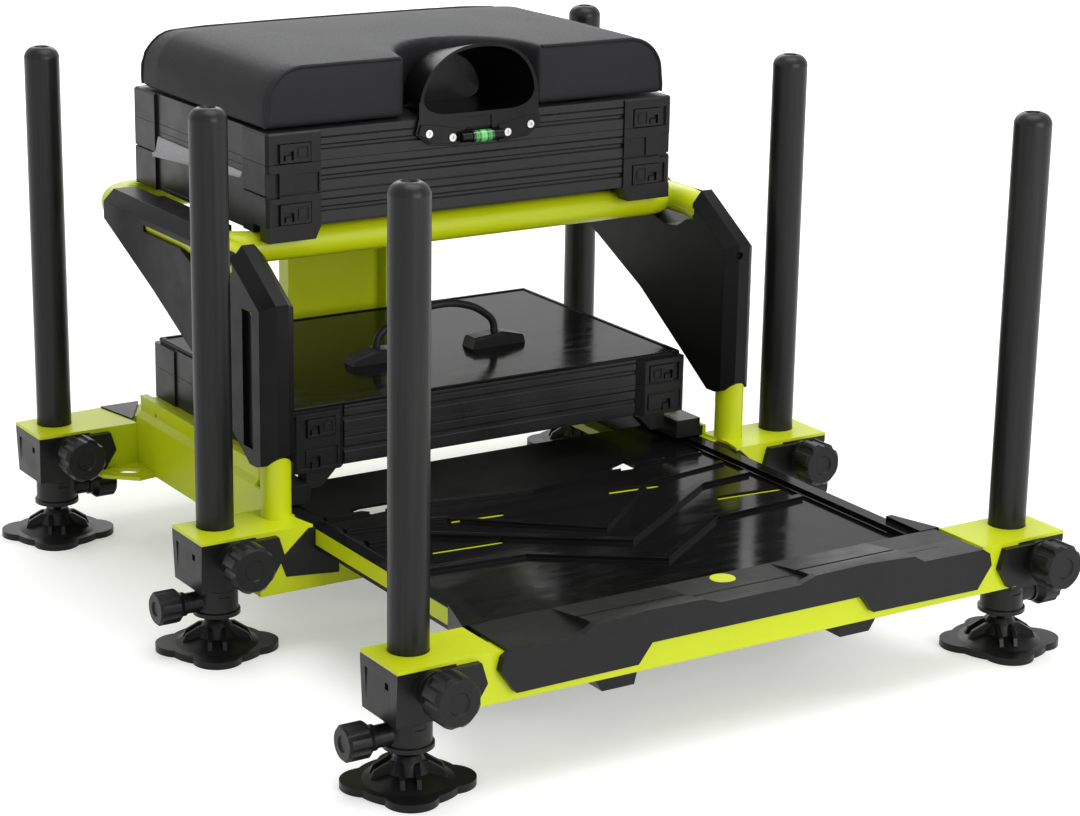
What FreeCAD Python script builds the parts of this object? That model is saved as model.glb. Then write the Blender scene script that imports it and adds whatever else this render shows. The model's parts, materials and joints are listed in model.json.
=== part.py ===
import FreeCAD, Part
import math
import os

# Fishing seat box on six adjustable legs, in millimetres.
# +X is the sitter's left to right as seen from the front, +Y runs to the back and +Z is up.
# The origin is on the ground, under the middle of the whole object.

# Clearances
seam_gap = 0.3
shaft_gap = 0.08

# Sizes that the whole object follows
leg_diameter = 36.0
front_to_middle_leg = 371.0
middle_to_rear_leg = 389.0
deck_height = 124.0
case_half = 236.0
case_depth = 306.0
tray_depth = 322.0

# Legs and feet
leg_radius = leg_diameter / 2
leg_wall = 2.5
leg_top = 526.0
leg_bottom = 55.0
leg_cap_height = 18.0
spigot_radius = leg_radius - 1.0
clamped_radius = leg_radius - seam_gap
clamped_top = deck_height + seam_gap
bore_radius = leg_radius + seam_gap
collar_radius = leg_radius + 3.0
collar_rim = 2.0
collar_bottom = 37.0
collar_top = 69.0
foot_radius = 59.0
foot_core_radius = 47.0
foot_plate = 7.0
foot_lobe_radius = 24.0
foot_turn = 65.0
foot_hub_top = 30.0
ball_radius = 9.0
ball_height = 43.5
ball_stem_radius = 4.2

# Knobs
clamp_knob_radius = 23.0
clamp_knob_height = deck_height - 20.0
clamp_knob_depth = 35.2
clamp_shaft_radius = 6.0
foot_knob_radius = 16.5
foot_knob_height = 51.0
foot_knob_boss_reach = collar_radius + 13.0
foot_knob_reach = foot_knob_boss_reach + 30.0
foot_shaft_radius = 4.0

# Leg castings and their black clamp shells, measured from each leg axis
deck_plate = 3.0
deck_under = deck_height - deck_plate
casting_outer = leg_radius + 16.5
casting_front = leg_radius + 24.5
casting_back = leg_radius + 4.0
casting_inner = leg_radius + 48.0
shell_inner = leg_radius + 4.0
shell_bottom = collar_top + 2.0
shell_taper = 6.0
boss_plate = 7.0
boss_reach = casting_inner - 17.0
clamp_knob_reach = casting_front + boss_plate + seam_gap + clamp_knob_depth

# Rows of legs along Y
lobe_centre = foot_radius - foot_lobe_radius
foot_reach = lobe_centre * math.sin(math.radians(foot_turn)) + foot_lobe_radius
overall_depth = foot_reach + middle_to_rear_leg + front_to_middle_leg + clamp_knob_reach
front_row = clamp_knob_reach - overall_depth / 2
middle_row = front_row + front_to_middle_leg
rear_row = middle_row + middle_to_rear_leg

# Seat frame of bent tube, with its moulded side covers
hoop_radius = 16.0
hoop_height = deck_height + 238.0
hoop_half = case_half + 32.0
hoop_bend = 40.0
hoop_rear = rear_row - 1.6
upright_radius = 15.0
upright_y = middle_row - 1.6
upright_bend = 90.0
cover_inner = hoop_half - 17.5
cover_outer = hoop_half + 18.5
cover_top = hoop_height + 18.0
cover_front = upright_y - 17.5
leg_half_span = hoop_half + 64.0

# Chassis
chassis_bottom = deck_height - 64.0
beam_top = deck_height - 27.0
beam_dip = deck_height - 53.0
beam_depth = 40.0
rail_outer = case_half + 20.0
rail_wall = 8.0
rail_inner = rail_outer - rail_wall
rail_web = rail_outer - rail_wall / 2
rail_flange = 26.0
rail_bottom = deck_height - 48.0
rail_step = deck_height + 8.0
rail_top = deck_height + 30.0
rail_jog = 5.0
rail_ledge = 30.0
rail_lip_setback = 47.0
rear_beam_bottom = deck_height - 52.0
rear_beam_depth = 39.0
rear_beam_front = 10.0

# Footplate that slides in under the lower case
footplate_half = leg_half_span - 85.0
footplate_rear = middle_row + 99.4
footplate_rail = 6.0
footplate_rail_bottom = deck_height - 21.0
footplate_rail_top = deck_height - 5.0
wear_strip = 4.0
tread_bottom = deck_height - 12.0
tread_sheet = 3.0
tread_rim_top = deck_height - 3.5
apron_half = footplate_half + 15.0
front_bar_bottom = deck_under - 44.0
front_bar_depth = 30.0
bumper_thickness = 7.7
skid_span = 137.0
skid_height = 21.0
footplate_front = front_row - casting_front
apron_back = front_row + 22.0
strut_width = 34.0
stud_y = front_row + 8.0
stud_radius = 12.0

# Ribs on the tread: distance back of the vertex, knee as a share of the pan's half width, distance
# back of the knee and of the ends, width and height
tread_ridges = [(152, 0.665, 262, 268, 9, 4), (196, 0.5, 296, 312, 7, 3), (92, 0.457, 168, 178, 8, 4),
                (330, 0.623, 352, 352, 6, 2.5)]
ridge_end = 0.922

# Slots through the tread: start as a share of the pan's half width, length, distance back, width
tread_slots = [(-0.75, 73.0, 220.0, 10.0), (0.615, 74.0, 220.0, 10.0), (0.265, 56.0, 289.0, 11.0),
               (-0.497, 56.0, 289.0, 11.0), (0.607, 52.0, 34.0, 9.0), (-0.823, 52.0, 34.0, 9.0)]
tread_windows = [
    [(0.44, 348.0), (0.55, 346.0), (0.572, 357.0), (0.572, 374.0), (0.5, 366.0)],
    [(-0.78, 371.0), (-0.76, 360.0), (-0.72, 350.5), (-0.62, 352.8), (-0.59, 376.0), (-0.72, 377.0)],
]

# Guides between the footplate and the front crossbeam
guide_top_half = footplate_half + 7.5
guide_inner_half = footplate_half - 25.0
guide_wide_half = leg_half_span - 47.0
guide_foot_half = leg_half_span - 53.5
guide_shoulder = deck_height - 30.0

# Upper case with its side drawer
case_rear = hoop_rear - 8.0
case_front = case_rear - case_depth
hoop_front = case_front + 36.0
case_bottom = hoop_height + hoop_radius + seam_gap
case_skirt = case_bottom + 8.7
case_layer = case_bottom + 39.6
case_split = case_bottom + 70.0
lid_top = case_split + 31.0
plinth_setback = 30.0
bracket_wall = 5.0
case_wall = 4.0
rib_plate = 3.0
seam_half = 0.9
seam_depth = 2.5
drawer_front_y = case_front + 55.0
drawer_rear_y = case_rear - 55.0
drawer_top = case_split - 8.3
drawer_depth = 2 * case_half - 52.0
drawer_wall = 2.5
drawer_side_gap = 0.6
drawer_face = bracket_wall - rib_plate + 1.0
drawer_floor = case_bottom + case_wall + seam_gap
pull_seat = 1.5
pull_inset = 2.0
hinge_y = case_rear + 6.0
hinge_z = case_split + 2.0
hinge_radius = 4.5
knuckle_length = 30.0
knuckle_start = 98.0

# Lower case of two shallow trays with a lid and a loop handle
tray_half = case_half - 4.0
tray_rear = hoop_rear - 36.0
tray_front = tray_rear - tray_depth
tray_bottom = deck_height + 26.0
tray_split = tray_bottom + 33.5
tray_top = tray_bottom + 61.3
tray_bracket_top = tray_bottom + 59.5
tray_lid_top = tray_bottom + 65.0
tray_face = 6.0
tray_skin = 2.5
tray_wall = 4.0
lid_well = 1.2
mount_span = 71.0
mount_y = tray_front + 125.0
mount_length = 65.0
grip_radius = 4.0
grip_seat = tray_lid_top + 5.0
grip_rise = 20.0
grip_points = [(-mount_span, 0, 0), (-mount_span, 0, grip_rise), (-48, -4, grip_rise + 17),
               (-18, -8, grip_rise + 27), (15, -8, grip_rise + 28), (47, -4, grip_rise + 18),
               (mount_span, 0, grip_rise), (mount_span, 0, 0)]

# Latches
latch_travel = 6.0
latch_thickness = 3.2
latch_setback = 2.2

# Seat pad and pole cup
pad_half = case_half - 2.0
pad_front = case_front + 10.0
pad_rear = case_rear - 5.0
pad_edge_radius = 41.0
pad_lean = 1.5
pad_front_height = 62.5
pad_crown = 66.5
notch_half = 76.0
notch_depth = 79.0
cup_half = 64.5
cup_back_half = 45.0
cup_height = 69.2
cup_back_height = 51.0
cup_wall = 3.5
cup_depth = 71.5
cup_tilt = 0.125
wing_front = case_front - 4.5
cup_apron_front = case_front - 2.5
vial_radius = 6.2
vial_half = 12.0
vial_y = case_front - 7.5
vial_z = lid_top - 20.3
screw_radius = 4.0
screw_seat = 1.5
screw_places = [(-59.0, -14.0), (-32.0, -19.8), (32.0, -19.8), (59.0, -14.0)]

LEFT = -1
RIGHT = 1

legs = {
    "FL": (LEFT, front_row, LEFT),
    "FR": (RIGHT, front_row, RIGHT),
    "ML": (LEFT, middle_row, LEFT),
    "MR": (RIGHT, middle_row, RIGHT),
    "RL": (LEFT, rear_row, RIGHT),
    "RR": (RIGHT, rear_row, RIGHT),
}

# How the corner brackets and ribbed skins of the two cases are laid out
case_plan = {
    "half": case_half, "front": case_front, "rear": case_rear, "width": 59.0, "side_width": 52.0,
    "wall": bracket_wall, "side_wall": bracket_wall, "skin": rib_plate, "flank": 0.0,
}
tray_plan = {
    "half": tray_half, "front": tray_front, "rear": tray_rear, "width": 51.0, "side_width": 50.0,
    "wall": tray_face + tray_skin, "side_wall": tray_wall, "skin": tray_skin, "flank": 8.0,
}
case_latch = {"centre": case_half - 31.0, "width": 33.0, "front": case_front}
tray_latch = {"centre": tray_half - 30.0, "width": 30.0, "front": tray_front}

X_AXIS = FreeCAD.Vector(1, 0, 0)
Y_AXIS = FreeCAD.Vector(0, 1, 0)
Z_AXIS = FreeCAD.Vector(0, 0, 1)
ORIGIN = FreeCAD.Vector(0, 0, 0)


def vec(x, y, z):
    return FreeCAD.Vector(x, y, z)


def box(x0, x1, y0, y1, z0, z1):
    corner = vec(min(x0, x1), min(y0, y1), min(z0, z1))
    return Part.makeBox(abs(x1 - x0), abs(y1 - y0), abs(z1 - z0), corner)


def rod(start, axis, length, radius):
    return Part.makeCylinder(radius, length, start, axis)


def prism(points, travel):
    return Part.Face(Part.makePolygon(points + points[:1])).extrude(travel)


def prism_xy(points, z0, z1):
    return prism([vec(x, y, z0) for x, y in points], vec(0, 0, z1 - z0))


def prism_xz(points, y0, y1):
    return prism([vec(x, y0, z) for x, z in points], vec(0, y1 - y0, 0))


def prism_yz(points, x0, x1):
    return prism([vec(x0, y, z) for y, z in points], vec(x1 - x0, 0, 0))


def mirrored(shape):
    return shape.mirror(ORIGIN, X_AXIS)


def both_sides(shape):
    return [shape, mirrored(shape)]


def fuse(shapes):
    whole = shapes[0].fuse(shapes[1:])
    return whole.removeSplitter()


def cut(shape, tools):
    return shape.cut(tools) if len(tools) > 1 else shape.cut(tools[0])


def revolved(profile, base):
    # A closed profile of (radius, height) points, turned about a vertical axis through base.
    points = [base + vec(r, 0, z) for r, z in profile]
    face = Part.Face(Part.makePolygon(points + points[:1]))
    return face.revolve(base, Z_AXIS, 360)


def chamfer_where(shape, size, chosen):
    edges = [edge for edge in shape.Edges if chosen(edge)]
    return shape.makeChamfer(size, edges) if edges else shape


def fillet_where(shape, radius, chosen):
    edges = [edge for edge in shape.Edges if chosen(edge)]
    return shape.makeFillet(radius, edges) if edges else shape


def is_along(edge, axis):
    start, end = edge.Vertexes[0].Point, edge.Vertexes[-1].Point
    run = end - start
    return run.Length > 0.01 and abs(run.dot(axis)) > 0.999 * run.Length


def bent_path(points, radii):
    # Straight runs through the points, joined by tangent arcs of the given radii.
    edges = []
    start = points[0]
    for before, corner, after, radius in zip(points, points[1:], points[2:], radii):
        inward = (before - corner).normalize()
        outward = (after - corner).normalize()
        half_turn = (math.pi - inward.getAngle(outward)) / 2
        reach = radius * math.tan(half_turn)
        enter = corner + inward * reach
        leave = corner + outward * reach
        bisector = (inward + outward).normalize()
        middle = corner + bisector * (radius / math.cos(half_turn) - radius)
        if (enter - start).Length > 0.01:
            edges.append(Part.LineSegment(start, enter).toShape())
        edges.append(Part.Arc(enter, middle, leave).toShape())
        start = leave
    edges.append(Part.LineSegment(start, points[-1]).toShape())
    return Part.Wire(edges)


def tube_along(path, direction, radius):
    ring = Part.Wire(Part.makeCircle(radius, path.Vertexes[0].Point, direction))
    return path.makePipeShell([ring], True, False)


def export(name, solids):
    shape = solids[0] if len(solids) == 1 else Part.makeCompound(solids)
    shape.exportStep("parts/" + name + ".step")


# Legs

def leg_axis(side, row, height):
    return vec(side * leg_half_span, row, height)


def leg_cap(base):
    cap_base = leg_top - leg_cap_height
    shoulder = cap_base + 7.0
    edges = Part.makePolygon([
        base + vec(8.0, 0, leg_top), base + vec(6.0, 0, leg_top - 2.5), base + vec(0, 0, leg_top - 2.5),
        base + vec(0, 0, cap_base), base + vec(leg_radius, 0, cap_base), base + vec(leg_radius, 0, shoulder),
    ]).Edges
    dome = Part.Arc(
        base + vec(leg_radius, 0, shoulder), base + vec(14.8, 0, leg_top - 3.6), base + vec(8.0, 0, leg_top)
    ).toShape()
    return Part.Face(Part.Wire(edges + [dome])).revolve(base, Z_AXIS, 360)


def foot_collar(base, knob_side):
    rim = collar_radius + collar_rim
    body = revolved([
        (0, collar_bottom), (rim, collar_bottom), (rim, collar_bottom + 4), (collar_radius, collar_bottom + 5),
        (collar_radius, collar_top - 6), (rim, collar_top - 5), (rim, collar_top), (0, collar_top),
    ], base)
    boss_start = base + vec(knob_side * 12.0, 0, foot_knob_height)
    boss = rod(boss_start, X_AXIS * knob_side, foot_knob_boss_reach - 12.0, 10.0)
    tube_seat = rod(base + vec(0, 0, leg_bottom), Z_AXIS, collar_top - leg_bottom, leg_radius)
    socket = Part.makeSphere(ball_radius + seam_gap, base + vec(0, 0, ball_height))
    mouth = revolved([(0, collar_bottom), (10.0, collar_bottom), (8.6, 40.0), (0, 40.0)], base)
    knob_bore_start = base + vec(knob_side * 22.0, 0, foot_knob_height)
    knob_bore = rod(knob_bore_start, X_AXIS * knob_side, 20.0, foot_shaft_radius + shaft_gap)
    slot = box(base.x - 7, base.x + 7, base.y - rim, base.y - collar_radius + 1.2, 57, 61)
    return cut(body.fuse(boss), [tube_seat, socket, mouth, knob_bore, slot])


def build_leg(side, row, knob_side):
    base = leg_axis(side, row, 0)
    tube_top = leg_top - leg_cap_height
    outer = revolved([
        (0, leg_bottom), (spigot_radius, leg_bottom), (spigot_radius, collar_top), (clamped_radius, collar_top),
        (clamped_radius, clamped_top), (leg_radius, clamped_top), (leg_radius, tube_top), (0, tube_top),
    ], base)
    hollow = rod(base + vec(0, 0, leg_bottom), Z_AXIS, tube_top - leg_bottom, leg_radius - leg_wall)
    return [outer.cut(hollow), leg_cap(base), foot_collar(base, knob_side)]


def build_foot(side, row):
    base = leg_axis(side, row, 0)
    plate = [rod(base, Z_AXIS, foot_plate, foot_core_radius)]
    for step in range(4):
        angle = math.radians(foot_turn + 90 * step)
        centre = base + vec(lobe_centre * math.cos(angle), lobe_centre * math.sin(angle), 0)
        plate.append(rod(centre, Z_AXIS, foot_plate, foot_lobe_radius))
    hub = revolved([
        (0, foot_plate), (40.0, foot_plate), (20.0, 15.0), (15.0, 24.0), (11.0, foot_hub_top),
        (ball_stem_radius, foot_hub_top), (ball_stem_radius, ball_height), (0, ball_height),
    ], base)
    ball = Part.makeSphere(ball_radius, base + vec(0, 0, ball_height))
    ears = []
    for step in range(4):
        for offset in (-7.0, 7.0):
            ear = prism_xz([(10, foot_plate), (34, foot_plate), (30, 17), (17, 25), (10, 25)], -2, 2)
            ear.translate(vec(0, offset, 0))
            ear.rotate(ORIGIN, Z_AXIS, foot_turn + 90 * step)
            ear.translate(base)
            ears.append(ear)
    return [fuse(plate + [hub, ball] + ears)]


def lobed_knob(radius, depth, lobes, scallop):
    # Knob body along +Z from the origin, with finger scallops and a bevelled face.
    bevel = 0.14 * radius
    body = revolved([
        (0, 0), (0.72 * radius, 0), (radius, 0.2 * depth), (radius, depth - bevel),
        (radius - bevel, depth), (0.45 * radius, depth), (0.4 * radius, depth - 1.5), (0, depth - 1.5),
    ], ORIGIN)
    cuts = []
    for step in range(lobes):
        angle = 2 * math.pi * step / lobes
        place = radius + 0.55 * scallop
        centre = vec(place * math.cos(angle), place * math.sin(angle), 0.18 * depth)
        cuts.append(rod(centre, Z_AXIS, depth, scallop))
    return cut(body, cuts)


def build_clamp_knob(side, row):
    face = casting_front + boss_plate + seam_gap
    flange = 6.0
    knob = lobed_knob(clamp_knob_radius, clamp_knob_reach - face - flange, 8, 6.0)
    knob.translate(vec(0, 0, flange))
    collar = rod(ORIGIN, Z_AXIS, flange + 1, 0.7 * clamp_knob_radius)
    shaft_end = leg_radius + 2.0
    shaft = rod(vec(0, 0, shaft_end - face), Z_AXIS, face - shaft_end + 1, clamp_shaft_radius)
    whole = fuse([knob, collar, shaft])
    whole.rotate(ORIGIN, X_AXIS, 90)
    whole.translate(leg_axis(side, row - face, clamp_knob_height))
    return [whole]


def build_foot_knob(side, row, knob_side):
    start = foot_knob_boss_reach + seam_gap
    flange = 4.0
    knob = lobed_knob(foot_knob_radius, foot_knob_reach - start - flange, 7, 4.5)
    knob.translate(vec(0, 0, flange))
    collar = rod(ORIGIN, Z_AXIS, flange + 1, 0.7 * foot_knob_radius)
    shaft = rod(vec(0, 0, -10.0), Z_AXIS, 11.0, foot_shaft_radius)
    whole = fuse([knob, collar, shaft])
    whole.rotate(ORIGIN, Y_AXIS, 90 * knob_side)
    whole.translate(leg_axis(side, row, foot_knob_height) + vec(knob_side * start, 0, 0))
    return [whole]


# Clamp shells and castings, drawn for a left leg whose axis is the origin, outer side to -X

def local_clamp_shell():
    def ring(height, draw_in):
        return Part.makePolygon([
            vec(-casting_outer + draw_in / 3, -casting_front + draw_in, height),
            vec(shell_inner, -casting_front + draw_in, height),
            vec(shell_inner, casting_back, height),
            vec(-casting_outer + draw_in / 3, casting_back, height),
            vec(-casting_outer + draw_in / 3, -casting_front + draw_in, height),
        ])

    knob = clamp_knob_height
    body = Part.makeLoft([ring(shell_bottom, shell_taper), ring(deck_under - 5, 0)], True, True)
    band = box(-casting_outer, shell_inner, -casting_front, casting_back, deck_under - 5, deck_under)
    face = -casting_front - boss_plate
    boss = prism_xz([
        (8, knob - 20), (boss_reach - 13, knob - 24), (boss_reach, knob - 4),
        (boss_reach - 6, deck_under - 1.5), (8, deck_under - 1.5),
    ], face, -casting_front)
    neck = rod(vec(0, face, knob), Y_AXIS, boss_plate + shell_taper + 2, deck_under - knob)
    bore = rod(vec(0, 0, 0), Z_AXIS, deck_height, bore_radius)
    knob_bore = rod(vec(0, face - 1, knob), Y_AXIS, -face, clamp_shaft_radius + shaft_gap)
    panel = box(-casting_outer - 1, -casting_outer + 1.5, -casting_front + 12, casting_back - 8,
                knob - 24, deck_under - 10)
    slot = box(-casting_outer - 1, -casting_outer + 4, -casting_front + 18, -casting_front + 24,
               knob - 3, knob + 3)
    return cut(fuse([body, band, boss, neck]), [bore, knob_bore, panel, slot])


def local_plate(outline):
    plate = prism_xy(outline, deck_under, deck_height)
    return plate.cut(rod(ORIGIN, Z_AXIS, deck_height + 1, bore_radius))


def guide_corner(x):
    # Distance from the leg axis of a point of the chassis at the absolute half width x.
    return leg_half_span - x


def local_middle_casting():
    plate_inner = guide_corner(hoop_half - upright_radius - 1.5)
    plate = local_plate([
        (-casting_outer, -casting_front), (plate_inner + 2, -casting_front),
        (plate_inner - 3, -casting_front + 24), (plate_inner, casting_back), (-casting_outer, casting_back),
    ])
    collar_side = collar_radius + collar_rim + 3.0
    front = prism_xz([
        (shell_inner, deck_under), (guide_corner(guide_top_half), deck_under),
        (guide_corner(guide_wide_half), guide_shoulder), (guide_corner(guide_foot_half), rail_bottom),
        (guide_corner(guide_foot_half), chassis_bottom), (collar_side, chassis_bottom),
        (collar_side, shell_bottom), (shell_inner, shell_bottom),
    ], -casting_front, -casting_front + beam_depth)
    seat = box(shell_inner, guide_corner(rail_inner), -casting_front + beam_depth, casting_back,
               rail_bottom, deck_under)
    return fuse([plate, front, seat])


def local_rear_casting():
    inner = guide_corner(rail_outer)
    plate = local_plate([
        (-casting_outer, -casting_front), (inner, -casting_front), (inner, -casting_front + 12),
        (inner - 11, rear_beam_depth - rear_beam_front), (-casting_outer, casting_back),
    ])
    body = box(shell_inner, inner, -casting_front, casting_back, rear_beam_bottom, deck_under)
    ring = prism_xy([
        (shell_inner + 2, -casting_front), (inner, -casting_front), (inner, -casting_front - 46),
        (inner - 20, -casting_front - 50), (shell_inner + 4, -casting_front - 22),
    ], rail_bottom, rail_bottom + 4)
    hole = Part.Face(Part.Wire(Part.Ellipse(ORIGIN, 15.0, 8.5).toShape())).extrude(vec(0, 0, 10))
    hole.rotate(ORIGIN, Z_AXIS, -35)
    hole.translate(vec(inner - 21, -casting_front - 21, rail_bottom - 3))
    return fuse([plate, body, ring.cut(hole)])


def local_footplate_casting():
    plate = local_plate([
        (-casting_outer, -casting_front), (casting_inner, -casting_front),
        (casting_inner, casting_back), (-casting_outer, casting_back),
    ])
    body = box(shell_inner, casting_inner, -casting_front, casting_back, front_bar_bottom, deck_under)
    return plate.fuse(body)


def placed(local, side, row):
    shape = local.copy()
    if side == RIGHT:
        shape = mirrored(shape)
    shape.translate(leg_axis(side, row, 0))
    return shape


def leg_row(name):
    side, row, knob_side = legs[name]
    return side, row


# Chassis

def build_castings():
    middle = local_middle_casting()
    rear = local_rear_casting()
    return [placed(middle, *leg_row("ML")), placed(middle, *leg_row("MR")),
            placed(rear, *leg_row("RL")), placed(rear, *leg_row("RR"))]


def build_crossbeams():
    front_y = middle_row - casting_front
    left = [(-guide_foot_half, chassis_bottom), (-guide_foot_half, rail_bottom),
            (-guide_inner_half, beam_dip), (-guide_inner_half, beam_top)]
    outline = left + [(-x, z) for x, z in reversed(left)]
    front = prism_xz(outline, front_y, front_y + beam_depth)
    rear_y = rear_row - rear_beam_front
    rear = box(-rail_outer, rail_outer, rear_y, rear_y + rear_beam_depth, rear_beam_bottom, deck_under)
    return [front, rear]


def build_rails():
    start = middle_row + casting_back
    end = rear_row - casting_front
    lower = prism_xz([
        (-rail_outer, rail_bottom), (-rail_outer + rail_flange, rail_bottom),
        (-rail_outer + rail_flange, rail_bottom + rail_wall), (-rail_web, rail_bottom + rail_wall),
        (-rail_web, rail_step), (-rail_outer, rail_step),
    ], start, end)
    seat = tray_bottom - seam_gap
    upper = prism_xz([
        (-rail_outer, rail_step), (-rail_inner, rail_step), (-rail_inner + rail_jog, rail_step + 2),
        (-rail_outer + rail_ledge, rail_step + 4), (-rail_outer + rail_ledge, seat),
        (-rail_inner + rail_jog, seat), (-rail_inner + rail_jog, rail_top), (-rail_inner - 3, rail_top),
        (-rail_inner - 3, rail_step + 6),
    ], start + rail_lip_setback, end)
    hole = rod(vec(-rail_outer, middle_row + 308.0, rail_step + 9.0), X_AXIS, rail_wall * 2, 2.5)
    return both_sides(fuse([lower, upper]).cut(hole))


def build_guides():
    front_y = middle_row - casting_front - 1.0
    slide = footplate_half + 0.4
    slide_bottom = footplate_rail_bottom - wear_strip - seam_gap
    guide = prism_xz([
        (-guide_top_half, deck_under - seam_gap), (-guide_wide_half + seam_gap, guide_shoulder),
        (-guide_foot_half + seam_gap, rail_bottom + seam_gap), (-guide_inner_half, beam_dip + seam_gap),
        (-guide_inner_half, slide_bottom), (-slide, slide_bottom), (-slide, deck_under - seam_gap),
    ], front_y, front_y + beam_depth)
    plug = prism_xy([(-rail_outer + seam_gap, rear_row - 30), (-rail_outer + 34, rear_row + 28.5),
                     (-rail_outer - 10.5, rear_row + 28.5)], deck_under, deck_height + 1.5)
    start = middle_row + casting_back
    end = rear_row - casting_front
    block = box(-rail_inner, -rail_outer + 38, start, start + rail_lip_setback,
                tread_rim_top + 1.5, rail_step + 9)
    liner = box(-rail_web + seam_gap, -rail_inner, start, end,
                rail_bottom + rail_wall + seam_gap, rail_step - seam_gap)
    return both_sides(guide) + both_sides(plug) + both_sides(fuse([block, liner]))


def build_shells(names):
    local = local_clamp_shell()
    return [placed(local, *leg_row(name)) for name in names]


# Seat frame and side covers

def hoop_path():
    middle = (hoop_front + hoop_rear) / 2
    points = [
        vec(-hoop_half, middle, hoop_height), vec(-hoop_half, hoop_front, hoop_height),
        vec(hoop_half, hoop_front, hoop_height), vec(hoop_half, hoop_rear, hoop_height),
        vec(-hoop_half, hoop_rear, hoop_height), vec(-hoop_half, middle, hoop_height),
    ]
    return bent_path(points, [hoop_bend] * 4)


def hoop_tube(radius):
    return tube_along(hoop_path(), Y_AXIS, radius)


def upright_tube(side, radius, foot):
    points = [vec(side * hoop_half, upright_y, foot), vec(side * hoop_half, upright_y, hoop_height),
              vec(side * hoop_half, hoop_front + hoop_bend - 5, hoop_height)]
    return tube_along(bent_path(points, [upright_bend]), Z_AXIS, radius)


def build_seat_frame():
    return [fuse([hoop_tube(hoop_radius), upright_tube(LEFT, upright_radius, deck_height),
                  upright_tube(RIGHT, upright_radius, deck_height)])]


def build_side_cover(side):
    bend = hoop_front - 58.0
    back = hoop_rear - hoop_bend - 7.0
    body = prism_yz([
        (back + 7, cover_top), (bend, cover_top), (cover_front, hoop_height - 26),
        (cover_front, hoop_height - 174), (cover_front + 8.5, hoop_height - 184),
        (cover_front + 21.5, hoop_height - 188), (cover_front + 35.5, hoop_height - 188),
        (cover_front + 77.5, hoop_height - 160), (bend + 93, hoop_height - 104),
        (bend + 178, hoop_height - 63), (back, hoop_height - 15), (back + 7, hoop_height - 12),
    ], side * cover_inner, side * cover_outer)

    def on_skin(edge, half, lowest):
        spot = edge.CenterOfMass
        flat = edge.BoundBox.XLength < 0.1 and abs(abs(spot.x) - half) < 0.1 and edge.Length > 60
        return flat and (spot.y < cover_front + 1 or spot.z > lowest) and spot.y < back

    body = chamfer_where(body, 12.0, lambda edge: on_skin(edge, cover_outer, hoop_height - 8))
    body = chamfer_where(body, 11.0, lambda edge: on_skin(edge, cover_inner, hoop_height - 8)
                         and edge.CenterOfMass.y < bend)
    flange = box(side * (cover_inner - 6.5), side * (cover_inner + 2), bend + 83, bend + 239,
                 hoop_height, cover_top)
    body = body.fuse(flange)
    window = prism_yz([
        (bend - 3, hoop_height - 6), (bend + 28, hoop_height - 24), (bend + 48, hoop_height - 26),
        (bend + 83, hoop_height - 18), (bend + 113, hoop_height - 7), (bend + 198, hoop_height - 7),
        (bend + 198, hoop_height), (bend - 3, hoop_height),
    ], side * (cover_inner - 8), side * (cover_outer + 1))
    corner = box(side * (cover_inner - 1), side * (cover_outer - 5.5), bend, bend + 83,
                 hoop_height - 14, cover_top + 1)
    pocket = box(side * (cover_outer - 5), side * (cover_outer + 1), upright_y + 10.5, upright_y + 30,
                 hoop_height - 172, hoop_height - 37)
    tools = [window, corner, pocket, hoop_tube(hoop_radius + seam_gap),
             upright_tube(side, upright_radius + seam_gap, deck_under)]
    if side == RIGHT:
        tools.append(rod(vec(hoop_half - 6, cover_front - 1, hoop_height - 38), Y_AXIS, 6.0, 4.0))
    return [biggest(cut(body, tools))]


def biggest(shape):
    return max(shape.Solids, key=lambda solid: solid.Volume)


def build_back_panel():
    half = 63.0
    sheet = 4.0
    flange = 20.0
    top = hoop_height - hoop_radius - 0.2
    plate = box(-half, half, hoop_rear - sheet / 2, hoop_rear + sheet / 2, deck_under, top)
    sides = both_sides(box(-half, -half + sheet, hoop_rear - flange, hoop_rear, deck_height + 56, top - 12))
    bolts = both_sides(rod(vec(-half + 8, hoop_rear - sheet / 2 - 3, top - 8), Y_AXIS, 4, 5.0))
    return [fuse([plate] + sides + bolts)]


# Upper case

def corner_bracket(plan, bottom, top):
    # The front left corner of a case, its inner edge running back at a slant where a flank is set.
    half, front, wall, side_wall = plan["half"], plan["front"], plan["wall"], plan["side_wall"]
    inner = -half + plan["width"]
    outline = [(-half, front + 3), (-half + 3, front), (inner, front), (inner + plan["flank"], front + wall),
               (-half + side_wall, front + wall), (-half + side_wall, front + plan["side_width"]),
               (-half, front + plan["side_width"])]
    outer = prism_xy(outline, bottom, top)
    return outer, outer.mirror(vec(0, (front + plan["rear"]) / 2, 0), Y_AXIS)


def rib_grooves(plan, wide, narrow):
    # One wide trough and one fine line along the ribbed front and back, at the given heights.
    front = plan["front"] + plan["wall"] - plan["skin"]
    reach = plan["half"] - plan["width"] + 1
    trough = [(front - 1, wide - 2.9), (front, wide - 2.9), (front + 2.2, wide - 1.4),
              (front + 2.2, wide + 1.4), (front, wide + 2.9), (front - 1, wide + 2.9)]
    line = [(front - 1, narrow - 1.6), (front + 1.4, narrow), (front - 1, narrow + 1.6)]
    cuts = []
    for notch in (trough, line):
        cuts.append(prism_yz(notch, -reach, reach))
        cuts.append(prism_yz([(plan["front"] + plan["rear"] - y, z) for y, z in notch], -reach, reach))
    return cuts


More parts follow.
